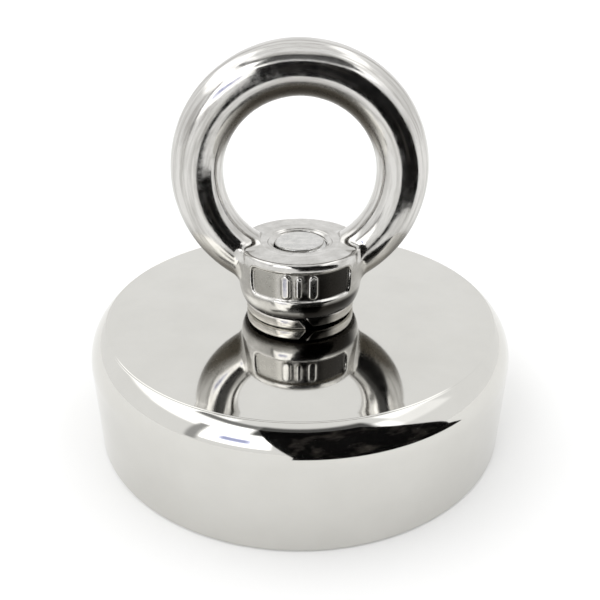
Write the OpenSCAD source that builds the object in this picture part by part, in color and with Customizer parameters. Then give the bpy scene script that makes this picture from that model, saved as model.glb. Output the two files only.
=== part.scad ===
// Fishing magnet: a ring magnet in a steel cup, with an eye nut on a countersunk screw.
// Millimetres, +Z up. The origin is the centre of the pulling face, which is the underside.
// The thread is drawn as plain cylinders at its pitch diameter.

/* [Steel cup] */
// Outside diameter of the cup
cup_d = 60; // [58:1:80]
// Height of the cup
cup_h = 17.5; // [16:0.5:21]
// Radius of the rounding round the cup's top edge
cup_edge_r = 5.8; // [3:0.1:8]
// Width of the rounding, seen from above; it meets the top at a crease
cup_edge_w = 2.5; // [1:0.1:2.9]
// How much lower the top is at the crease than under the washer
cup_crown = 0.3; // [0:0.05:0.5]
// Thickness of the cup's side wall
cup_wall = 3.5; // [2:0.5:4]
// Thickness of the cup's floor, which takes the screw head
cup_floor = 6; // [4.5:0.5:7]
// Chamfer on the lip round the pulling face
lip_chamfer = 0.3; // [0.1:0.1:0.8]

/* [Magnet and resin] */
// Outside diameter of the ring magnet
magnet_d = 50; // [40:1:50]
// Bore of the ring magnet, which leaves the screw head open to a key
magnet_bore_d = 18; // [17:0.5:24]
// How far the magnet's face sits back from the lip
face_recess = 0.2; // [0.1:0.1:0.6]
// Thickness of the resin film behind the magnet
bond_t = 0.3; // [0.1:0.1:0.5]
// Chamfer on the magnet's edges
magnet_chamfer = 0.4; // [0.2:0.1:0.8]

/* [Screw] */
// Length of the screw with its head
screw_len = 16; // [14:0.5:20]
// Diameter of the countersunk head
head_d = 16; // [15:0.5:16.5]
// Straight edge of the head, before its cone
head_land = 0.3; // [0.1:0.1:0.4]
// Width across the flats of the key socket
key_flats = 5; // [4:0.5:6]
// Depth of the key socket
key_depth = 3; // [2:0.5:3.5]

/* [Spring washer] */
// Outside diameter of the washer
washer_od = 15.4; // [13:0.1:16]
// Inside diameter of the washer
washer_id = 8.4; // [8.2:0.1:9]
// Thickness of the washer's section
washer_t = 1.6; // [1.4:0.1:2.6]
// Height that is left between the washer's two ends once it is tightened
washer_rise = 0.3; // [0:0.05:1]
// Width of the split, as an angle
washer_split = 11; // [4:1:20]
// Where the middle of the split points
washer_angle = -84; // [-180:1:180]

/* [Eye nut] */
// Inside diameter of the eye
eye_id = 20.3; // [19:0.1:24]
// Diameter of the round section of the eye
eye_rod_d = 6.9; // [6:0.1:8]
// Height of the eye's centre above the nut's seat
eye_centre_h = 17.6; // [17:0.1:20]
// Largest diameter of the boss, at the middle of its height
boss_d = 17.5; // [16:0.1:19]
// Height of the boss
boss_h = 8.2; // [8:0.1:10]
// Diameter of the boss where it seats on the washer
boss_seat_d = 16; // [15:0.1:16.5]
// Height of the foot, which flares out from the seat to the bowed side
boss_foot_h = 2.4; // [1.5:0.1:3]
// Radius round the boss's top edge
boss_edge_r = 0.7; // [0.3:0.1:1]
// Diameter of the flat milled round the screw hole, inside the eye
spot_face_d = 11; // [10:0.5:14]
// Angle that the blank label pad covers
pad_angle = 100; // [40:2:110]
// Depth of the label pad
pad_depth = 0.3; // [0.1:0.05:0.5]
// Angle of the eye about the screw once it is tightened
eye_angle = 1; // [-10:0.5:10]

/* [Hidden] */

$fn = 96;
cut = 1;                                // how far a cutter runs past what it cuts
seat_gap = 0.02;                        // air left between the washer and its seats
thread_pitch_d = 7.188;                 // pitch diameter of the M8 coarse thread
thread_gap = 0.06;                      // radial running clearance in the nut
thread_crest_d = 8;                     // nominal diameter of the M8 thread
screw_hole_d = 8.4;                     // clearance hole in the cup's floor
screw_cone_gap = 0.05;                  // air between the head's cone and its seat
screw_end_chamfer = 0.8;
nut_hole_chamfer = 0.5;
washer_chamfer = 0.35;
washer_steps = 60;
arc_steps = 10;
boss_bulge = 0.12;                      // how far the boss's side bows out
pad_low = 3.1;                          // lower edge of the label pad, above the nut's seat
pad_high = 7.1;                         // upper edge of the label pad
washer_seat_r = 9;                      // level part of the cup's top, under the washer

cup_r = cup_d / 2;
cup_inner_r = cup_r - cup_wall;
floor_z = cup_h - cup_floor;            // inner face of the cup's floor
magnet_top_z = floor_z - bond_t;
magnet_r = magnet_d / 2;
magnet_bore_r = magnet_bore_d / 2;
head_r = head_d / 2;
thread_r = thread_pitch_d / 2;
crest_r = thread_crest_d / 2;
washer_z = cup_h + seat_gap;
seat_z = washer_z + washer_t + washer_rise + seat_gap;
boss_r = boss_d / 2;
eye_rod_r = eye_rod_d / 2;
eye_r = eye_id / 2 + eye_rod_r;         // radius of the eye's centre line

// Points of an arc about a centre, from one angle to another
function arc(centre, r, from, to) =
    [for (i = [0 : arc_steps])
        let (a = from + (to - from) * i / arc_steps)
        centre + r * [cos(a), sin(a)]];

// Radius of the boss's bowed side at a height above the seat
function side_r(z) =
    let (mid = (boss_foot_h + boss_h) / 2)
    let (half = (boss_h - boss_foot_h) / 2)
    boss_r - boss_bulge * pow((z - mid) / half, 2);

// A ring with the same chamfer on all four of its edges
module chamfered_ring(r_in, r_out, low, high, c) {
    rotate_extrude()
        polygon([
            [r_in + c, low], [r_out - c, low], [r_out, low + c],
            [r_out, high - c], [r_out - c, high], [r_in + c, high],
            [r_in, high - c], [r_in, low + c]
        ]);
}

// Pressed steel cup, open underneath, with a countersunk hole for the screw
module steel_cup() {
    edge_end = acos(1 - cup_edge_w / cup_edge_r);
    edge_z = cup_h - cup_crown - cup_edge_r * sin(edge_end);
    outline = concat(
        [[0, 0], [cup_r - lip_chamfer, 0], [cup_r, lip_chamfer]],
        arc([cup_r - cup_edge_r, edge_z], cup_edge_r, 0, edge_end),
        [[washer_seat_r, cup_h], [0, cup_h]]
    );
    cone_top_r = crest_r + screw_cone_gap;
    cone_base_r = head_r + screw_cone_gap;
    color("silver") difference() {
        rotate_extrude() polygon(outline);
        translate([0, 0, -cut]) cylinder(r = cup_inner_r, h = floor_z + cut);
        translate([0, 0, floor_z - cut]) cylinder(r = cone_base_r, h = head_land + cut);
        translate([0, 0, floor_z + head_land])
            cylinder(r1 = cone_base_r, r2 = cone_top_r, h = head_r - crest_r);
        translate([0, 0, floor_z]) cylinder(d = screw_hole_d, h = cup_floor + cut);
    }
}

// Plated ring magnet, set just back from the cup's lip
module ring_magnet() {
    color("gainsboro")
        chamfered_ring(magnet_bore_r, magnet_r, face_recess, magnet_top_z, magnet_chamfer);
}

// Resin film that bonds the magnet to the cup's floor
module bond_layer() {
    color("darkslategray")
        translate([0, 0, magnet_top_z])
        difference() {
            cylinder(r = magnet_r, h = bond_t);
            translate([0, 0, -cut]) cylinder(r = magnet_bore_r, h = bond_t + 2 * cut);
        }
}

// Resin that fills the gap round the magnet
module rim_resin() {
    resin_low = face_recess + magnet_chamfer;
    color("darkslategray")
        translate([0, 0, resin_low])
        difference() {
            cylinder(r = cup_inner_r, h = floor_z - resin_low);
            translate([0, 0, -cut]) cylinder(r = magnet_r, h = floor_z + cut);
        }
}

// Countersunk socket screw, head down in the cup's floor
module countersunk_screw() {
    color("dimgray")
        translate([0, 0, floor_z])
        difference() {
            rotate_extrude()
                polygon([
                    [0, 0], [head_r, 0], [head_r, head_land],
                    [crest_r, head_land + head_r - crest_r],
                    [thread_r, head_land + head_r - thread_r],
                    [thread_r, screw_len - screw_end_chamfer],
                    [thread_r - screw_end_chamfer, screw_len], [0, screw_len]
                ]);
            translate([0, 0, -cut])
                cylinder(d = key_flats / cos(30), h = key_depth + cut, $fn = 6);
        }
}

// Split spring washer: a left-hand turn of flat wire, lowest at the left of its split
module spring_washer() {
    r_in = washer_id / 2;
    r_out = washer_od / 2;
    c = washer_chamfer;
    section = [
        [r_in + c, 0], [r_out - c, 0], [r_out, c], [r_out, washer_t - c],
        [r_out - c, washer_t], [r_in + c, washer_t], [r_in, washer_t - c], [r_in, c]
    ];
    n = len(section);
    turn = 360 - washer_split;
    points = [for (i = [0 : washer_steps])
        let (t = i / washer_steps)
        let (a = washer_angle - washer_split / 2 - turn * t)
        for (p = section) [p.x * cos(a), p.x * sin(a), washer_z + washer_rise * t + p.y]];
    sides = [for (i = [0 : washer_steps - 1])
        for (j = [0 : n - 1])
            [i * n + j, i * n + (j + 1) % n, (i + 1) * n + (j + 1) % n, (i + 1) * n + j]];
    low_end = [for (j = [0 : n - 1]) n - 1 - j];
    high_end = [for (j = [0 : n - 1]) washer_steps * n + j];
    color("darkgray")
        polyhedron(points, concat([low_end], sides, [high_end]), convexity = 4);
}

// Outline of the boss from its seat to its flat top
module boss_outline() {
    foot = [for (i = [0 : arc_steps])
        let (t = i / arc_steps)
        [side_r(boss_foot_h) - (side_r(boss_foot_h) - boss_seat_d / 2) * pow(1 - t, 2),
         boss_foot_h * t]];
    side_top = boss_h - boss_edge_r;
    side = [for (i = [1 : arc_steps])
        let (z = boss_foot_h + (side_top - boss_foot_h) * i / arc_steps)
        [side_r(z), z]];
    edge = arc([side_r(side_top) - boss_edge_r, side_top], boss_edge_r, 9, 90);
    polygon(concat([[0, 0]], foot, side, edge, [[0, boss_h]]));
}

// Blank pad sunk in the front of the boss
module label_pad() {
    pad_r = boss_r - boss_bulge - pad_depth;
    rotate([0, 0, -90 - pad_angle / 2])
        rotate_extrude(angle = pad_angle)
        translate([pad_r, pad_low])
        square([cut + pad_depth, pad_high - pad_low]);
}

// Tapped hole through the boss, with a chamfer at each end
module nut_hole() {
    r = thread_r + thread_gap;
    c = nut_hole_chamfer;
    rotate_extrude()
        polygon([
            [0, -cut], [r + c + cut, -cut], [r, c], [r, boss_h - c],
            [r + c + cut, boss_h + cut], [0, boss_h + cut]
        ]);
}

// Eye nut: a round eye on a boss, milled flat round the hole inside the eye
module eye_nut() {
    color("lightgray")
        rotate([0, 0, eye_angle])
        translate([0, 0, seat_z])
        difference() {
            union() {
                rotate_extrude() boss_outline();
                translate([0, 0, eye_centre_h])
                    rotate([90, 0, 0])
                    rotate_extrude()
                    translate([eye_r, 0])
                    circle(r = eye_rod_r);
            }
            translate([0, 0, boss_h]) cylinder(d = spot_face_d, h = eye_rod_r);
            label_pad();
            nut_hole();
        }
}

steel_cup();
ring_magnet();
bond_layer();
rim_resin();
countersunk_screw();
spring_washer();
eye_nut();
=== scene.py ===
import math
import bmesh
import bpy
import numpy as np
from mathutils import Matrix, Vector


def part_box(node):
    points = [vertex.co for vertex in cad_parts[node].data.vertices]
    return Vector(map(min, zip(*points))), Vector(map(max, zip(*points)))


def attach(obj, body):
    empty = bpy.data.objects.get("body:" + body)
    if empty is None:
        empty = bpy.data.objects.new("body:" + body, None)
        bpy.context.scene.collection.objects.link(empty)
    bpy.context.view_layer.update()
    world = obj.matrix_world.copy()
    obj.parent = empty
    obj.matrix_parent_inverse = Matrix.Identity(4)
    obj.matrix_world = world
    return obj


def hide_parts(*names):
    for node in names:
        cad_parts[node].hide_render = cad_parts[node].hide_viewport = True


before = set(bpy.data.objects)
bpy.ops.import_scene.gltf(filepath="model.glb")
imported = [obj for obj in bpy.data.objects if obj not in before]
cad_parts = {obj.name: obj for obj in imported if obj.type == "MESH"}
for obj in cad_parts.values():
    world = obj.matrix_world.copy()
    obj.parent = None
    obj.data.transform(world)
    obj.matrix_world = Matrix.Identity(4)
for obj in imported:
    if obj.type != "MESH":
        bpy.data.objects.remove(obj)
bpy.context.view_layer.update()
scene = bpy.context.scene
scene.view_settings.view_transform = "Standard"
mm = 0.001                                   # shapes are worked out in millimetres
ringPoints = 192                             # points round every turned piece


def boxOf(node):
    low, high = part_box(node)
    return Vector(low) / mm, Vector(high) / mm


cupLow, cupHigh = boxOf("steel_cup")
magnetLow, magnetHigh = boxOf("ring_magnet")
resinLow, resinHigh = boxOf("rim_resin")
screwLow, screwHigh = boxOf("countersunk_screw")
washerLow, washerHigh = boxOf("spring_washer")
eyeLow, eyeHigh = boxOf("eye_nut")
print("frame loaded: cup", round(cupHigh.x * 2, 1), "mm across and", round(cupHigh.z, 1), "mm high")

threadSizes = {
    "pitch": 1.25,
    "crestRadius": 3.95,
    "depth": 0.68,
    "crestFlat": 0.09,                       # half the width of the flat on a crest
    "clearance": 0.07,                       # between the screw's thread and the nut's
}


def circleRing(radius, height, count=ringPoints):
    angles = np.linspace(0, 2 * np.pi, count, endpoint=False)
    return np.stack([radius * np.cos(angles), radius * np.sin(angles), height + 0 * angles], axis=1)


def hexagonRing(flats, height, count=ringPoints):
    angles = np.linspace(0, 2 * np.pi, count, endpoint=False)
    nearest = (angles + np.pi / 6) % (np.pi / 3) - np.pi / 6
    radius = flats / 2 / np.cos(nearest)
    return np.stack([radius * np.cos(angles), radius * np.sin(angles), height + 0 * angles], axis=1)


def roundedOutline(corners, arcSteps=8, hold=0.04, closed=True):
    # corners are (radius, height, edge radius); each one becomes an arc with a holding point on both sides
    outline = []
    for i in range(len(corners)):
        corner = Vector(corners[i][:2])
        if not closed and i in (0, len(corners) - 1):
            outline.append(corner)
            continue
        edge = corners[i][2]
        before = (Vector(corners[i - 1][:2]) - corner).normalized()
        after = (Vector(corners[(i + 1) % len(corners)][:2]) - corner).normalized()
        half = before.angle(after) / 2
        reach = edge / math.tan(half)
        middle = corner + (before + after).normalized() * edge / math.sin(half)
        start = corner + before * reach - middle
        end = corner + after * reach - middle
        sweep = start.angle_signed(end)
        steps = max(3, round(arcSteps * abs(sweep) / (math.pi / 2)))
        outline.append(corner + before * (reach + hold))
        for k in range(steps + 1):
            outline.append(middle + Matrix.Rotation(-sweep * k / steps, 2) @ start)
        outline.append(corner + after * (reach + hold))
    return outline


def newPiece(name, points, faces, node, body, material):
    mesh = bpy.data.meshes.new(name)
    mesh.from_pydata([tuple(p) for p in np.asarray(points) * mm], [], [tuple(f) for f in faces])
    work = bmesh.new()
    work.from_mesh(mesh)
    bmesh.ops.recalc_face_normals(work, faces=work.faces)
    for face in work.faces:
        face.smooth = True
    work.to_mesh(mesh)
    work.free()
    piece = bpy.data.objects.new(name, mesh)
    scene.collection.objects.link(piece)
    piece.data.materials.append(material)
    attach(piece, body)
    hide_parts(node)
    print("made", name, "with", len(mesh.polygons), "faces")
    return piece


def loftRings(rings, closed):
    # joins rings of equal length; an open loft gets a fan at each end
    count = len(rings[0])
    points = np.concatenate(rings)
    faces = []
    for row in range(len(rings) if closed else len(rings) - 1):
        low = row * count
        high = (row + 1) % len(rings) * count
        for i in range(count):
            j = (i + 1) % count
            faces.append((low + i, low + j, high + j, high + i))
    if not closed:
        ends = np.stack([rings[0].mean(axis=0), rings[-1].mean(axis=0)])
        last = (len(rings) - 1) * count
        for i in range(count):
            j = (i + 1) % count
            faces.append((len(points), j, i))
            faces.append((len(points) + 1, last + i, last + j))
        points = np.concatenate([points, ends])
    return points, faces


def turnedPiece(name, corners, node, body, material, arcSteps=8):
    rings = [circleRing(p.x, p.y) for p in roundedOutline(corners, arcSteps)]
    points, faces = loftRings(rings, closed=True)
    return newPiece(name, points, faces, node, body, material)


def threadRadius(angle, height):
    # right-hand thread: distance from the nearest crest gives the flank
    turn = (height / threadSizes["pitch"] - angle / (2 * np.pi)) % 1
    away = np.abs(turn - 0.5) * threadSizes["pitch"]
    drop = (away - threadSizes["crestFlat"]) * math.sqrt(3)
    return threadSizes["crestRadius"] - np.clip(drop, 0, threadSizes["depth"])


def newMaterial(name, colour, metallic, roughness):
    material = bpy.data.materials.new(name)
    material.use_nodes = True
    shader = material.node_tree.nodes["Principled BSDF"]
    shader.inputs["Base Color"].default_value = (*colour, 1)
    shader.inputs["Metallic"].default_value = metallic
    shader.inputs["Roughness"].default_value = roughness
    return material, material.node_tree, shader


def addNode(tree, kind, **values):
    node = tree.nodes.new(kind)
    for key, value in values.items():
        if key in node.inputs:
            node.inputs[key].default_value = value
        else:
            setattr(node, key, value)
    return node


def objectCoordinates(tree, stretch=(1, 1, 1)):
    # object space in millimetres
    coordinates = addNode(tree, "ShaderNodeTexCoord")
    mapping = addNode(tree, "ShaderNodeMapping")
    mapping.inputs["Scale"].default_value = [s / mm for s in stretch]
    tree.links.new(coordinates.outputs["Object"], mapping.inputs["Vector"])
    return mapping.outputs["Vector"]


def noiseField(tree, vector, scale, detail=3.0, roughness=0.5):
    noise = addNode(tree, "ShaderNodeTexNoise")
    noise.inputs["Scale"].default_value = scale
    noise.inputs["Detail"].default_value = detail
    noise.inputs["Roughness"].default_value = roughness
    tree.links.new(vector, noise.inputs["Vector"])
    return noise.outputs["Fac"]


def spread(tree, value, low, high, fromLow=0.3, fromHigh=0.7):
    ramp = addNode(tree, "ShaderNodeMapRange")
    ramp.inputs["From Min"].default_value = fromLow
    ramp.inputs["From Max"].default_value = fromHigh
    ramp.inputs["To Min"].default_value = low
    ramp.inputs["To Max"].default_value = high
    tree.links.new(value, ramp.inputs["Value"])
    return ramp.outputs["Result"]


def blendColours(tree, value, first, second):
    # first may be a plain colour or another node's colour
    mix = addNode(tree, "ShaderNodeMix", data_type="RGBA")
    if isinstance(first, tuple):
        mix.inputs[6].default_value = (*first, 1)
    else:
        tree.links.new(first, mix.inputs[6])
    mix.inputs[7].default_value = (*second, 1)
    tree.links.new(value, mix.inputs[0])
    return mix.outputs[2]


def splitXYZ(tree, vector):
    parts = addNode(tree, "ShaderNodeSeparateXYZ")
    tree.links.new(vector, parts.inputs[0])
    return parts.outputs["X"], parts.outputs["Y"], parts.outputs["Z"]


def multiply(tree, first, *others):
    for other in others:
        first = calculate(tree, "MULTIPLY", first, other)
    return first


def calculate(tree, operation, a, b=None):
    node = addNode(tree, "ShaderNodeMath", operation=operation)
    for k, value in enumerate((a, b)):
        if value is None:
            continue
        if isinstance(value, (int, float)):
            node.inputs[k].default_value = value
        else:
            tree.links.new(value, node.inputs[k])
    return node.outputs[0]


def easeStep(tree, value, low, high):
    # 0 at low, 1 at high, with a soft start and end
    node = addNode(tree, "ShaderNodeMapRange", interpolation_type="SMOOTHSTEP")
    node.inputs["From Min"].default_value = low
    node.inputs["From Max"].default_value = high
    tree.links.new(value, node.inputs["Value"])
    return node.outputs["Result"]


def addBump(tree, shader, height, strength, distance, after=None):
    bump = addNode(tree, "ShaderNodeBump")
    bump.inputs["Strength"].default_value = strength
    bump.inputs["Distance"].default_value = distance * mm
    tree.links.new(height, bump.inputs["Height"])
    if after is not None:
        tree.links.new(after, bump.inputs["Normal"])
    tree.links.new(bump.outputs["Normal"], shader.inputs["Normal"])
    return bump.outputs["Normal"]


def nickelPlate():
    look = {
        "bright": (0.645, 0.637, 0.607),
        "dull": (0.61, 0.602, 0.572),
        "smooth": 0.035,
        "rough": 0.075,
    }
    material, tree, shader = newMaterial("nickelPlate", look["bright"], 1.0, look["smooth"])
    vector = objectCoordinates(tree)
    cloud = noiseField(tree, vector, 0.12, 4.0, 0.6)
    tint = blendColours(tree, spread(tree, cloud, 0, 1), look["bright"], look["dull"])
    tree.links.new(tint, shader.inputs["Base Color"])
    haze = noiseField(tree, vector, 0.35, 6.0, 0.7)
    tree.links.new(spread(tree, haze, look["smooth"], look["rough"]), shader.inputs["Roughness"])
    swell = addBump(tree, shader, noiseField(tree, vector, 0.09, 1.0), 0.35, 0.02)
    addBump(tree, shader, noiseField(tree, vector, 2.2, 5.0, 0.65), 0.12, 0.0012, swell)
    return material


def cloudedFinish(name, look, metallic=1.0, stretch=(1, 1, 1)):
    # colour and roughness drift together with one cloud, and a finer grain gives the bump
    material, tree, shader = newMaterial(name, look["bright"], metallic, look["smooth"])
    vector = objectCoordinates(tree, stretch)
    cloud = noiseField(tree, vector, *look["cloud"])
    tint = blendColours(tree, spread(tree, cloud, 0, 1), look["bright"], look["dull"])
    tree.links.new(tint, shader.inputs["Base Color"])
    tree.links.new(spread(tree, cloud, look["smooth"], look["rough"]), shader.inputs["Roughness"])
    addBump(tree, shader, noiseField(tree, vector, *look["grain"]), look["grainStrength"], look["grainDepth"])
    return material


def screwSteel():
    return cloudedFinish("screwSteel", {
        "bright": (0.68, 0.67, 0.65),
        "dull": (0.50, 0.50, 0.49),
        "smooth": 0.13,
        "rough": 0.30,
        "cloud": (0.8, 5.0, 0.6),            # scale, detail and roughness of the noise
        "grain": (4.0, 4.0, 0.5),
        "grainStrength": 0.25,
        "grainDepth": 0.006,                 # mm
    })


def magnetPlate():
    return cloudedFinish("magnetPlate", {
        "bright": (0.62, 0.615, 0.60),
        "dull": (0.50, 0.495, 0.48),
        "smooth": 0.20,
        "rough": 0.36,
        "cloud": (0.25, 6.0, 0.65),
        "grain": (5.0, 5.0, 0.7),
        "grainStrength": 0.35,
        "grainDepth": 0.01,
    })


def castResin():
    return cloudedFinish("castResin", {
        "bright": (0.012, 0.012, 0.014),
        "dull": (0.035, 0.035, 0.038),
        "smooth": 0.18,
        "rough": 0.38,
        "cloud": (0.6, 5.0, 0.6),
        "grain": (1.4, 3.0, 0.5),
        "grainStrength": 0.4,
        "grainDepth": 0.03,
    }, metallic=0.0)


nickel = nickelPlate()
boltSteel = screwSteel()
magnetFinish = magnetPlate()
resinFinish = castResin()
print("finishes ready")


cup = {
    "edgeRadius": 5.8,                       # rounding of the top edge
    "edgeWidth": 2.5,                        # the same rounding, seen from above
    "edgeSteps": 40,
    "crown": 0.3,                            # how far the top falls from the washer to the rounding
    "levelRadius": 8.5,
    "lineWidth": 0.22,                       # turned line where the top meets the rounding
    "lineDepth": 0.05,
    "domeSteps": 24,
    "wall": 3.5,
    "innerLip": 0.25,                        # edge radii of the lip
    "outerLip": 0.45,
    "holeRadius": 4.2,
    "coneRadius": 8.05,
    "coneFoot": 0.3,                         # straight part under the cone
}


def makeCup():
    outer = cupHigh.x
    top = cupHigh.z
    inner = outer - cup["wall"]
    floorZ = screwLow.z
    coneTop = floorZ + cup["coneFoot"] + cup["coneRadius"] - cup["holeRadius"]
    edge = cup["edgeRadius"]
    edgeEnd = math.acos(1 - cup["edgeWidth"] / edge)
    crease = outer - cup["edgeWidth"]
    creaseZ = top - cup["crown"]
    edgeZ = creaseZ - edge * math.sin(edgeEnd)
    level = cup["levelRadius"]
    joint = floorZ - 0.8                     # where the outline starts and ends, on the inner wall
    low = cupLow.z
    wall = [(inner, joint), (inner, low, cup["innerLip"]), (outer, low, cup["outerLip"]), (outer, edgeZ)]
    outline = roundedOutline(wall, closed=False)[:-1]
    for k in range(cup["edgeSteps"] + 1):
        angle = edgeEnd * k / cup["edgeSteps"]
        outline.append(Vector((outer - edge + edge * math.cos(angle), edgeZ + edge * math.sin(angle))))
    # across the turned line: how far along it and how deep, as shares of its width and depth
    for along, drop in ((0.1, 0.3), (0.3, 1.0), (0.6, 1.0), (0.85, 0.2), (1.0, 0.0), (1.3, 0.0)):
        outline.append(Vector((crease - cup["lineWidth"] * along, creaseZ - cup["lineDepth"] * drop)))
    begin = crease - cup["lineWidth"] * 1.3
    for k in range(1, cup["domeSteps"]):
        radius = begin + (level - begin) * k / cup["domeSteps"]
        outline.append(Vector((radius, top - cup["crown"] * ((radius - level) / (begin - level)) ** 2)))
    inside = [
        (level, top),
        (cup["holeRadius"], top, 0.15),
        (cup["holeRadius"], coneTop, 0.04),
        (cup["coneRadius"], floorZ + cup["coneFoot"], 0.04),
        (cup["coneRadius"], floorZ, 0.04),
        (inner, floorZ, 0.5),
        (inner, joint),
    ]
    outline += roundedOutline(inside, closed=False)[:-1]
    points, faces = loftRings([circleRing(p.x, p.y) for p in outline], closed=True)
    return newPiece("cup_shell", points, faces, "steel_cup", "magnet_base", nickel)


makeCup()


magnetRing = {
    "boreRadius": 9.0,
    "edgeRadius": 0.45,
}


def makeMagnet():
    edge = magnetRing["edgeRadius"]
    corners = [
        (magnetRing["boreRadius"], magnetLow.z, edge),
        (magnetHigh.x, magnetLow.z, edge),
        (magnetHigh.x, magnetHigh.z, edge),
        (magnetRing["boreRadius"], magnetHigh.z, edge),
    ]
    return turnedPiece("magnet_ring", corners, "ring_magnet", "magnet_base", magnetFinish)


rimResin = {
    "creep": 0.12,                           # how far the resin climbs each wall
    "dip": 0.10,                             # how far its middle sinks
    "steps": 12,
}


def makeRimResin():
    # the resin's face is a shallow trough between the magnet and the cup
    inside = magnetHigh.x
    outside = resinHigh.x
    rings = []
    for t in np.linspace(0, 1, rimResin["steps"] + 1):
        sag = (1 - (2 * t - 1) ** 2) * rimResin["dip"] - abs(2 * t - 1) ** 6 * rimResin["creep"]
        rings.append(circleRing(inside + (outside - inside) * t, resinLow.z + sag))
    rings.append(circleRing(outside, resinHigh.z))
    rings.append(circleRing(inside, resinHigh.z))
    points, faces = loftRings(rings, closed=True)
    return newPiece("resin_ring", points, faces, "rim_resin", "magnet_base", resinFinish)


makeMagnet()
makeRimResin()
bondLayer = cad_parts["bond_layer"].data
bondLayer.materials.clear()
bondLayer.materials.append(resinFinish)
print("bond layer kept, with the resin's finish")


screw = {
    "headLand": 0.3,
    "keyFlats": 5.0,
    "keyDepth": 3.0,
    "drillDepth": 0.9,                       # cone left by the drill under the key socket
    "shankRadius": 3.98,
    "rowsPerTurn": 18,
    "endChamfer": 0.75,
}


def makeScrew():
    # rings from the bottom of the key socket, out over the face and up the shank to the tip
    face = screwLow.z
    tip = screwHigh.z
    headRadius = screwHigh.x
    land = face + screw["headLand"]
    neck = land + headRadius - screw["shankRadius"]
    flats = screw["keyFlats"]
    deep = face + screw["keyDepth"]
    socketMouth = flats * 0.58
    socket = [(0.2, screw["drillDepth"])]
    socket += [(flats * k, screw["drillDepth"] * (1 - k)) for k in (0.3, 0.6, 0.85)]
    socket += [(flats - 0.1, 0), (flats, -0.08)]
    rings = [hexagonRing(across, deep + rise) for across, rise in socket]
    rings += [hexagonRing(flats, face + 0.25), hexagonRing(flats + 0.06, face + 0.12)]
    head = [(socketMouth + 0.12, face + 0.02), (socketMouth + 0.3, face)]
    head += [(radius, face) for radius in (4.6, 6.0, 7.4, headRadius - 0.16)]
    head += [(headRadius - 0.05, face + 0.03), (headRadius, face + 0.12)]
    head += [(headRadius, land - 0.05), (headRadius - 0.06, land + 0.06)]
    head += [(screw["shankRadius"] + 0.08, neck - 0.08), (screw["shankRadius"], neck)]
    rings += [circleRing(radius, height) for radius, height in head]
    angles = np.linspace(0, 2 * np.pi, ringPoints, endpoint=False)
    step = threadSizes["pitch"] / screw["rowsPerTurn"]
    for height in np.arange(neck + step, tip, step):
        radius = threadRadius(angles, height)
        radius = np.minimum(radius, screw["shankRadius"] - (height - tip + screw["endChamfer"]))
        rings.append(circleRing(radius, height))
    rings += [circleRing(screw["shankRadius"] - screw["endChamfer"] - 0.06, tip)]
    rings += [circleRing(r, tip) for r in (2.9, 2.0, 1.0, 0.3)]
    points, faces = loftRings(rings, closed=False)
    node = "countersunk_screw"
    return newPiece("socket_screw", points, faces, node, "magnet_base", boltSteel)


makeScrew()


washer = {
    "boreRadius": 4.2,
    "thickness": 1.6,
    "split": 7.0,                            # degrees
    "splitAt": -84.0,                        # degrees, where the middle of the split points
    "corner": 0.38,                          # edge radius of the wire's section
    "cornerSteps": 5,
    "steps": 180,
    "endLean": 9.0,                          # the ends are cut at a slant, in degrees
    "leanReach": 6.0,                        # how far from its end the slant dies out, in degrees
    "bevel": 0.12,
}


def springSteel():
    look = {
        "bright": (0.66, 0.64, 0.60),
        "dull": (0.44, 0.42, 0.39),
        "paintedShade": (0.03, 0.028, 0.025),     # painted shade on one side of the split
        "paintedShadeFrom": (0.5, 1.5),           # mm along x, where it fades in and out
        "paintedShadeTo": (5.5, 3.5),
        "paintedShadeFront": (-1.5, -5.0),        # mm along y
        "smooth": 0.12,
        "rough": 0.28,
        "cloud": (0.9, 4.0, 0.6),
        "grain": (1.6, 4.0, 0.5),
        "grainStrength": 0.3,
        "grainDepth": 0.01,
    }
    along = (1, 1, 6)                        # the wire's marks run round the washer
    material = cloudedFinish("springSteel", look, stretch=along)
    tree = material.node_tree
    base = tree.nodes["Principled BSDF"].inputs["Base Color"]
    # painted shade: the colour goes black on one side of the split
    x, y = splitXYZ(tree, objectCoordinates(tree, along))[:2]
    mask = multiply(tree, easeStep(tree, x, *look["paintedShadeFrom"]), easeStep(tree, x, *look["paintedShadeTo"]),
                    easeStep(tree, y, *look["paintedShadeFront"]))
    tree.links.new(blendColours(tree, mask, base.links[0].from_socket, look["paintedShade"]), base)
    return material


def washerSection(shrink):
    # rounded rectangle, drawn once round, as (radius, height)
    inner = washer["boreRadius"] + shrink
    outer = washerHigh.x - shrink
    low = shrink
    high = washer["thickness"] - shrink
    corner = washer["corner"]
    section = []
    for centreR, centreZ, begin in (
        (outer - corner, low + corner, -90),
        (outer - corner, high - corner, 0),
        (inner + corner, high - corner, 90),
        (inner + corner, low + corner, 180),
    ):
        for k in range(washer["cornerSteps"] + 1):
            angle = math.radians(begin + 90 * k / washer["cornerSteps"])
            section.append((centreR + corner * math.cos(angle), centreZ + corner * math.sin(angle)))
    return np.array(section)


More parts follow.
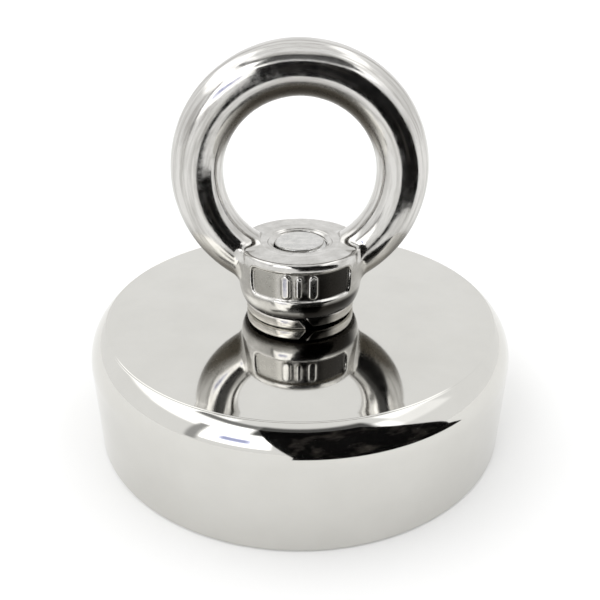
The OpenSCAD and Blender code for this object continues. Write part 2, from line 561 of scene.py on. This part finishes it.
def makeWasher():
    turn = 360 - washer["split"]
    start = washer["splitAt"] - washer["split"] / 2
    rise = washerHigh.z - washerLow.z - washer["thickness"]
    meanRadius = (washer["boreRadius"] + washerHigh.x) / 2
    bevel = washer["bevel"]
    bevelTurn = math.degrees(bevel / meanRadius)
    # stations along the wire, in degrees from its start, and how much the section shrinks there
    begin = [(0, bevel), (bevelTurn * 0.3, bevel * 0.3), (bevelTurn, 0)]
    between = np.linspace(bevelTurn, turn - bevelTurn, washer["steps"] + 1)[1:-1]
    stations = begin + [(along, 0) for along in between]
    stations += [(turn - along, shrink) for along, shrink in reversed(begin)]
    rings = []
    for along, shrink in stations:
        section = washerSection(shrink)
        ends = max(0, 1 - min(along, turn - along) / washer["leanReach"])
        lean = washer["endLean"] * ends * (section[:, 1] / washer["thickness"] - 0.5)
        angles = np.radians(start - along - lean)
        height = washerLow.z + rise * along / turn + section[:, 1]
        x = section[:, 0] * np.cos(angles)
        y = section[:, 0] * np.sin(angles)
        rings.append(np.stack([x, y, height], axis=1))
    points, faces = loftRings(rings, closed=False)
    return newPiece("split_washer", points, faces, "spring_washer", "washer", springSteel())


makeWasher()


eye = {
    "turned": 1.0,                           # degrees about the screw
    "rodRadius": 3.45,
    "bossHeight": 8.2,
    "seatRadius": 8.0,
    "footHeight": 2.4,
    "bulge": 0.12,
    "topEdge": 0.7,
    "seatEdge": 0.15,
    "spotRadius": 5.5,
    "spotEdge": 0.25,
    "blend": 0.9,                            # how softly the eye runs into the boss
    "holeRadius": 4.25,
    "holeMouth": 0.45,
    "holeEdge": 0.08,
    "padLow": 2.8,                           # heights above the seat
    "padHigh": 6.8,
    "padHalfAngle": 50.0,
    "padDepth": 0.32,
    "padCorner": 1.2,
    "padEdge": 0.3,
    "padFloorEdge": 0.15,
    "bars": ((-14, 0.62), (-2, 0.40), (11, 0.66)),    # azimuth and half width of each raised mark
    "barHalfLength": 1.1,
    "barHeight": 0.28,
    "barEdge": 0.2,
    "barRoot": 1.2,                          # how far in from the boss's side a mark reaches
    "grid": 0.19,                            # spacing of the sampling grid
    "waviness": 0.035,                       # hand-polished unevenness
    "waves": 7,
    "waveLength": (5, 14),
}


def distance(tree, a, b):
    squares = [calculate(tree, "POWER", side, 2.0) for side in (a, b)]
    return calculate(tree, "SQRT", calculate(tree, "ADD", *squares))


def roundTheEye(tree, x, y, z):
    # coordinates that follow the ring, so that polishing marks run along it
    rise = calculate(tree, "SUBTRACT", z, eyeHigh.z - eyeHigh.x)
    grain = addNode(tree, "ShaderNodeCombineXYZ")
    tree.links.new(distance(tree, x, rise), grain.inputs[0])
    tree.links.new(y, grain.inputs[1])
    tree.links.new(calculate(tree, "ARCTAN2", rise, calculate(tree, "ABSOLUTE", x)), grain.inputs[2])
    return grain.outputs[0]


def panelMask(tree, look, x, y, z):
    # 1 on the bottom of the sunk label panel
    low = eyeLow.z + eye["padLow"]
    high = eyeLow.z + eye["padHigh"]
    deep, shallow = look["panelDepths"]
    return multiply(
        tree,
        easeStep(tree, distance(tree, x, y), eyeHigh.y - shallow, eyeHigh.y - deep),
        easeStep(tree, y, *look["panelFront"]),
        easeStep(tree, z, low, low + look["panelFade"]),
        easeStep(tree, z, high, high - look["panelFade"]),
    )


def paintedShadeMask(tree, look, x, y, z, cloud, sunk):
    # painted shade: black on one side of the foot and the panel, and in a band just above the seat all round
    ragged = calculate(tree, "ADD", x, multiply(tree, spread(tree, cloud, 0, 1), look["paintedShadeRagged"]))
    ragged = easeStep(tree, ragged, *look["paintedShadeFrom"])
    side = multiply(tree, ragged, easeStep(tree, y, *look["paintedShadeFront"]))
    foot = easeStep(tree, z, *[eyeLow.z + height for height in look["paintedShadeTop"]])
    smear = calculate(tree, "MAXIMUM", foot, calculate(tree, "MULTIPLY", sunk, look["paintedShadeInPanel"]))
    seamShade = easeStep(tree, z, *[eyeLow.z + height for height in look["seamShade"]])
    return calculate(tree, "MAXIMUM", multiply(tree, smear, side), multiply(tree, seamShade, look["seamShadeStrength"]))


def castSteel():
    look = {
        "bright": (0.64, 0.63, 0.61),
        "dull": (0.32, 0.31, 0.29),
        "under": (0.09, 0.08, 0.065),        # painted shade on the undersides
        "underSlope": (-0.18, -0.55),        # how far down a surface faces where that starts and is full
        "panel": (0.41, 0.40, 0.375),        # bottom of the sunk label panel
        "panelDepths": (0.32, 0.20),
        "panelFront": (-4.8, -5.6),          # mm along y
        "panelFade": 0.3,
        # painted shade: black on one side of the foot and panel, and in a band above the seat
        "paintedShade": (0.018, 0.016, 0.014),
        "paintedShadeFrom": (0.2, 1.4),           # mm along x
        "paintedShadeFront": (-1.5, -5.0),        # mm along y
        "paintedShadeTop": (2.7, 1.9),            # mm above the seat
        "paintedShadeRagged": 1.6,
        "paintedShadeInPanel": 0.97,
        "seamShade": (1.1, 0.2),                  # mm above the seat
        "seamShadeStrength": 0.85,
        "marksFrom": (-0.5, 2.0),            # mm above the boss's top
        "smooth": 0.07,
        "rough": 0.19,
        "dullRough": 0.16,                   # added to the roughness where it's dull
    }
    material, tree, shader = newMaterial("castSteel", look["bright"], 1.0, look["smooth"])
    vector = objectCoordinates(tree)
    x, y, z = splitXYZ(tree, vector)
    cloud = noiseField(tree, vector, 0.5, 5.0, 0.6)
    bossTop = eyeLow.z + eye["bossHeight"]
    onEye = easeStep(tree, z, *[bossTop + height for height in look["marksFrom"]])
    marks = noiseField(tree, roundTheEye(tree, x, y, z), 1.3, 5.0, 0.65)
    marks = multiply(tree, spread(tree, marks, 0, 1, 0.42, 0.72), onEye)
    patches = multiply(tree, spread(tree, cloud, 0, 0.6), calculate(tree, "SUBTRACT", 1.0, onEye))
    tint = blendColours(tree, calculate(tree, "ADD", marks, patches), look["bright"], look["dull"])

    facing = splitXYZ(tree, addNode(tree, "ShaderNodeTexCoord").outputs["Normal"])
    # painted shade on surfaces that face down
    under = easeStep(tree, facing[2], *look["underSlope"])
    sunk = panelMask(tree, look, x, y, z)
    # painted shade on one side and in a band above the seat
    paintedShade = paintedShadeMask(tree, look, x, y, z, cloud, sunk)
    for mask, colour in ((under, look["under"]), (sunk, look["panel"]), (paintedShade, look["paintedShade"])):
        tint = blendColours(tree, mask, tint, colour)
    tree.links.new(tint, shader.inputs["Base Color"])

    haze = spread(tree, noiseField(tree, vector, 1.1, 6.0, 0.7), look["smooth"], look["rough"])
    dull = multiply(tree, calculate(tree, "MAXIMUM", under, sunk), look["dullRough"])
    tree.links.new(calculate(tree, "ADD", haze, dull), shader.inputs["Roughness"])
    wave = addBump(tree, shader, noiseField(tree, vector, 0.35, 2.0), 0.5, 0.05)
    wave = addBump(tree, shader, marks, 0.25, 0.008, wave)
    addBump(tree, shader, noiseField(tree, vector, 3.0, 6.0, 0.7), 0.3, 0.006, wave)
    return material


def softMin(a, b, k):
    h = np.clip(0.5 + 0.5 * (b - a) / k, 0, 1)
    return b * (1 - h) + a * h - k * h * (1 - h)


def softMax(a, b, k):
    return -softMin(-a, -b, k)


def bossBody(r, z):
    # the boss as turned: a flared foot, bowed sides and a flat top
    height = eye["bossHeight"]
    foot = eye["footHeight"]
    middle = (foot + height) / 2
    bow = (np.clip(z, foot, height) - middle) / (height - middle)
    low = 1 - np.clip(z / foot, 0, 1)
    side = eyeHigh.y - eye["bulge"] * bow ** 2 - (eyeHigh.y - eye["bulge"] - eye["seatRadius"]) * low ** 2
    return softMax(softMax(r - side, z - height, eye["topEdge"]), -z, eye["seatEdge"])


def cutPanel(body, r, azimuth, z):
    # a sunk label panel with plain raised bars
    middle = (eye["padLow"] + eye["padHigh"]) / 2
    half = (eye["padHigh"] - eye["padLow"]) / 2
    floor = eyeHigh.y - eye["bulge"] - eye["padDepth"]
    perDegree = math.radians(1) * eyeHigh.y
    across = (np.abs(azimuth) - eye["padHalfAngle"]) * perDegree
    pad = softMax(across, np.abs(z - middle) - half, eye["padCorner"])
    body = softMax(body, -softMax(pad, floor - r, eye["padFloorEdge"]), eye["padEdge"])
    for barAngle, barHalf in eye["bars"]:
        beside = (azimuth - barAngle) * perDegree
        bar = np.hypot(beside, np.maximum(np.abs(z - middle) - eye["barHalfLength"], 0))
        bar = softMax(bar - barHalf, r - (floor + eye["barHeight"]), eye["barEdge"])
        bar = np.maximum(bar, eyeHigh.y - eye["barRoot"] - r)
        body = softMin(body, bar, eye["barEdge"])
    return body


def eyeField(x, y, z):
    # below zero inside the metal; z is measured from the nut's seat and the label side faces -y
    centreZ = eyeHigh.z - eyeLow.z - eyeHigh.x
    ringRadius = eyeHigh.x - eye["rodRadius"]
    height = eye["bossHeight"]
    r = np.hypot(x, y)
    rod = np.hypot(np.hypot(x, z - centreZ) - ringRadius, y) - eye["rodRadius"]
    body = softMin(rod, bossBody(r, z), eye["blend"])
    spot = softMax(height - z, r - eye["spotRadius"], eye["spotEdge"])
    spot = softMax(spot, z - height - eye["rodRadius"], eye["spotEdge"])
    body = softMax(body, -spot, eye["spotEdge"])
    body = cutPanel(body, r, np.degrees(np.arctan2(x, -y)), z)
    mouth = np.clip(np.abs(z - height / 2) - height / 2 + eye["holeMouth"], 0, 1)
    hole = np.maximum(r - eye["holeRadius"] - mouth, z - height - 1)
    return softMax(body, -hole, eye["holeEdge"])


def waves(x, y, z):
    total = 0 * x
    generator = np.random.default_rng(7)
    for k in range(eye["waves"]):
        direction = generator.normal(size=3)
        length = generator.uniform(*eye["waveLength"])
        direction = direction / np.linalg.norm(direction) * 2 * np.pi / length
        along = x * direction[0] + y * direction[1] + z * direction[2]
        total = total + np.sin(along + generator.uniform(0, 6))
    return total / eye["waves"]


def surfaceFromField(field, low, high, step):
    # one point in each grid cell that the surface crosses, one face for each grid edge that it crosses
    axes = [np.arange(low[k], high[k] + step, step) for k in range(3)]
    x, y, z = np.meshgrid(*axes, indexing="ij")
    inside = field(x, y, z) < 0
    cells = np.zeros(tuple(n - 1 for n in inside.shape), dtype=int)
    for i in (0, 1):
        for j in (0, 1):
            for k in (0, 1):
                cells += inside[i:i + cells.shape[0], j:j + cells.shape[1], k:k + cells.shape[2]]
    crossed = (cells > 0) & (cells < 8)
    number = np.full(cells.shape, -1)
    number[crossed] = np.arange(crossed.sum())
    where = np.argwhere(crossed)
    points = np.stack([axes[k][where[:, k]] + step / 2 for k in range(3)], axis=1)
    faces = []
    for axis in range(3):
        one = (axis + 1) % 3
        two = (axis + 2) % 3
        first = np.take(inside, range(inside.shape[axis] - 1), axis=axis)
        second = np.take(inside, range(1, inside.shape[axis]), axis=axis)
        edges = np.argwhere(first != second)
        edges = edges[(edges[:, one] > 0) & (edges[:, two] > 0)]
        leaving = first[tuple(edges.T)]
        corner = []
        for a, b in ((0, 0), (1, 0), (1, 1), (0, 1)):
            cell = edges.copy()
            cell[:, one] -= a
            cell[:, two] -= b
            corner.append(number[tuple(cell.T)])
        corner = np.stack(corner, axis=1)
        corner[~leaving] = corner[~leaving][:, ::-1]
        faces.append(corner)
    return points, np.concatenate(faces)


def settleOnSurface(field, points, faces, rounds=6):
    # evens the points out, then slides each one onto the surface along the field's slope
    neighbours = np.concatenate([faces[:, [0, 1]], faces[:, [1, 2]], faces[:, [2, 3]], faces[:, [3, 0]]])
    tiny = 1e-3
    for k in range(rounds):
        total = np.zeros_like(points)
        count = np.zeros(len(points))
        for a, b in ((0, 1), (1, 0)):
            np.add.at(total, neighbours[:, a], points[neighbours[:, b]])
            np.add.at(count, neighbours[:, a], 1)
        points = points + 0.5 * (total / count[:, None] - points)
        for repeat in range(2):
            value = field(*points.T)
            changes = [field(*(points + nudge).T) - field(*(points - nudge).T) for nudge in np.eye(3) * tiny]
            slope = np.stack(changes, axis=1) / (2 * tiny)
            step = value / np.maximum((slope ** 2).sum(axis=1), 0.2)
            points = points - slope * step[:, None]
    return points


lining = {
    "inset": 0.12,                           # from the boss's seat and from its top
    "wall": 0.35,                            # how far the sleeve reaches into the metal
    "wallInset": 0.4,
    "rows": 140,
    "boreRadius": 3.4,
    "mouthDepth": 0.6,                       # the thread runs out over this depth at each end
    "mouthSlope": 1.5,
}


def nutThread():
    # the threaded lining of the boss's hole, as a sleeve that reaches into the metal round it
    angles = np.linspace(0, 2 * np.pi, ringPoints, endpoint=False)
    low = eyeLow.z + lining["inset"]
    high = eyeLow.z + eye["bossHeight"] - lining["inset"]
    outer = eye["holeRadius"] + lining["wall"]
    rings = [circleRing(outer, low + lining["wallInset"])]
    for height in np.linspace(low, high, lining["rows"]):
        mouth = np.clip(lining["mouthDepth"] - min(height - low, high - height), 0, 1)
        radius = threadRadius(angles, height) + threadSizes["clearance"]
        radius = np.maximum(radius, lining["boreRadius"] + mouth * lining["mouthSlope"])
        rings.append(circleRing(radius, height))
    rings.append(circleRing(outer, high - lining["wallInset"]))
    return loftRings(rings, closed=True)


def makeEye():
    step = eye["grid"]

    def wavyField(x, y, z):
        fade = np.clip((z - 6) / 6, 0.25, 1)     # the boss is more even than the eye
        return eyeField(x, y, z) + eye["waviness"] * fade * waves(x, y, z)

    reach = eyeHigh.x + 3 * step
    depth = eyeHigh.y + 3 * step
    tall = eyeHigh.z - eyeLow.z + 3 * step
    points, faces = surfaceFromField(wavyField, (-reach, -depth, -3 * step), (reach, depth, tall), step)
    points = settleOnSurface(wavyField, points, faces)
    turned = math.radians(eye["turned"])
    x = points[:, 0] * math.cos(turned) - points[:, 1] * math.sin(turned)
    y = points[:, 0] * math.sin(turned) + points[:, 1] * math.cos(turned)
    points = np.stack([x, y, points[:, 2] + eyeLow.z], axis=1)
    threadPoints, threadFaces = nutThread()
    allFaces = [tuple(f) for f in faces] + [tuple(v + len(points) for v in f) for f in threadFaces]
    points = np.concatenate([points, threadPoints])
    return newPiece("eye_with_boss", points, allFaces, "eye_nut", "eye", castSteel())


makeEye()


studio = {
    "floorRadius": 3.0,
    "floorColour": (0.93, 0.93, 0.925),
    "backdrop": 1.07,
    # each panel: brightness, azimuths, heights above the horizon, softness of its edges, and any colour.
    # Angles are in degrees: azimuth 0 is on the right and -90 is behind the camera.
    # Later panels cover earlier ones.
    "panels": (
        (2.0, (-179, -118), (31, 49), 3.0),      # strips of light on the left and behind
        (2.0, (135, 181), (31, 64), 3.0),
        (2.0, (-181, -140), (31, 64), 3.0),
        (1.35, (-62, 0), (31, 49), 3.0),         # weaker strips on the right
        (2.0, (-30, 60), (48, 64), 3.0),
        (2.0, (-60, -34), (31, 49), 3.0),
        (2.9, (-139, -104), (9, 50), 1.5),       # soft box
        (0.95, (-130, -114), (17, 25), 2.5, (0.62, 0.66, 1.0)),    # its dimmer, bluish middle
        (0.45, (-146, -140), (2, 37), 1.5),      # shadow beside the soft box
        (0.12, (-118, -44), (37, 59), 3.0),      # grey above the black card
        (0.27, (-165, -117), (51, 58), 2.0),     # and above the soft box
    ),
}

flag = {
    "radius": 0.16,
    "top": 47.0,                             # degrees above the horizon
    "left": (-93.0, -112.0),                 # azimuths at its foot and at its top
    "right": (-22.0, -58.0),
    "rightCurve": 1.4,
    "foot": (0.098, 0.074),                  # how near it comes on the floor, at its left and at its right
    "lift": 0.0002,                          # keeps it off the floor
    "columns": 48,
    "footRows": 5,
    "rows": 24,
    "black": (0.003, 0.003, 0.003),
    "folds": (0.05, 0.045, 0.04),
}


def makeFloor():
    mesh = bpy.data.meshes.new("studio_floor")
    work = bmesh.new()
    bmesh.ops.create_circle(work, cap_ends=True, segments=96, radius=studio["floorRadius"])
    work.to_mesh(mesh)
    work.free()
    floor = bpy.data.objects.new("studio_floor", mesh)
    floor.location.z = -0.02 * mm                # just under the cup's lip
    scene.collection.objects.link(floor)
    material, tree, shader = newMaterial("floorPaper", studio["floorColour"], 0.0, 0.9)
    addBump(tree, shader, noiseField(tree, objectCoordinates(tree), 2.0, 3.0), 0.1, 0.02)
    shader.inputs["Specular IOR Level"].default_value = 0.0
    mesh.materials.append(material)


def partWay(pair, t):
    return pair[0] + (pair[1] - pair[0]) * t


def makeFlag():
    # a black card round the front right that only mirror reflections see, with a foot that lies on the floor
    across = np.linspace(0, 1, flag["columns"])
    points = []
    for t in np.linspace(0, 1, flag["footRows"], endpoint=False):
        for u in across:
            azimuth = math.radians(partWay((flag["left"][0], flag["right"][0]), u))
            radius = partWay((partWay(flag["foot"], u), flag["radius"]), t)
            points.append((radius * math.cos(azimuth), radius * math.sin(azimuth), flag["lift"]))
    for t in np.linspace(0, 1, flag["rows"]):
        elevation = math.radians(flag["top"] * t)
        flat = flag["radius"] * math.cos(elevation)
        height = flag["radius"] * math.sin(elevation) + flag["lift"]
        edges = (partWay(flag["left"], t), partWay(flag["right"], t ** flag["rightCurve"]))
        for u in across:
            azimuth = math.radians(partWay(edges, u))
            points.append((flat * math.cos(azimuth), flat * math.sin(azimuth), height))
    count = len(across)
    faces = [
        (row + k, row + k + 1, row + count + k + 1, row + count + k)
        for row in range(0, len(points) - count, count) for k in range(count - 1)
    ]
    mesh = bpy.data.meshes.new("studio_flag")
    mesh.from_pydata(points, [], faces)
    card = bpy.data.objects.new("studio_flag", mesh)
    scene.collection.objects.link(card)
    material, tree, shader = newMaterial("flagCloth", flag["black"], 0.0, 1.0)
    shader.inputs["Specular IOR Level"].default_value = 0.0
    folds = noiseField(tree, objectCoordinates(tree, (1, 1, 0.4)), 0.045, 3.0, 0.6)
    tint = blendColours(tree, spread(tree, folds, 0, 1, 0.52, 0.8), flag["black"], flag["folds"])
    tree.links.new(tint, shader.inputs["Base Color"])
    mesh.materials.append(material)
    card.visible_camera = False
    card.visible_diffuse = False
    card.visible_shadow = False


def makeWorld():
    world = bpy.data.worlds.new("studio_world")
    scene.world = world
    world.use_nodes = True
    tree = world.node_tree
    background = tree.nodes["Background"]
    x, y, z = splitXYZ(tree, addNode(tree, "ShaderNodeTexCoord").outputs["Generated"])
    azimuth = calculate(tree, "DEGREES", calculate(tree, "ARCTAN2", y, x))
    elevation = calculate(tree, "DEGREES", calculate(tree, "ARCSINE", z))
    tint = (1, 1, 1)
    light = studio["backdrop"]
    for level, azimuths, heights, soft, *colour in studio["panels"]:
        area = multiply(
            tree,
            easeStep(tree, azimuth, azimuths[0] - soft, azimuths[0] + soft),
            easeStep(tree, azimuth, azimuths[1] + soft, azimuths[1] - soft),
            easeStep(tree, elevation, heights[0] - soft, heights[0] + soft),
            easeStep(tree, elevation, heights[1] + soft, heights[1] - soft),
        )
        rest = multiply(tree, calculate(tree, "SUBTRACT", 1, area), light)
        light = calculate(tree, "ADD", rest, multiply(tree, area, level))
        if colour:
            tint = blendColours(tree, area, tint, colour[0])
    # the camera itself sees plain white
    seen = addNode(tree, "ShaderNodeLightPath").outputs["Is Camera Ray"]
    light = multiply(tree, light, calculate(tree, "SUBTRACT", 1, seen))
    tree.links.new(calculate(tree, "ADD", light, seen), background.inputs["Strength"])
    tree.links.new(tint, background.inputs["Color"])


def makeCamera():
    shot = {
        "elevation": 27.7,                   # degrees above the horizon
        "distance": 0.100,
        "aimHeight": 0.01815,
        "lens": 41.3,
    }
    camera = bpy.data.objects.new("studio_camera", bpy.data.cameras.new("studio_camera"))
    scene.collection.objects.link(camera)
    tilt = math.radians(shot["elevation"])
    back = Vector((0, -math.cos(tilt), math.sin(tilt)))
    camera.location = Vector((0, 0, shot["aimHeight"])) + back * shot["distance"]
    camera.rotation_mode = "QUATERNION"
    camera.rotation_quaternion = (-back).to_track_quat("-Z", "Y")
    camera.data.lens = shot["lens"]
    camera.data.sensor_width = 36
    camera.data.clip_start = 0.005
    camera.data.clip_end = 20
    scene.camera = camera


makeFloor()
makeFlag()
makeWorld()
makeCamera()
print("studio ready")
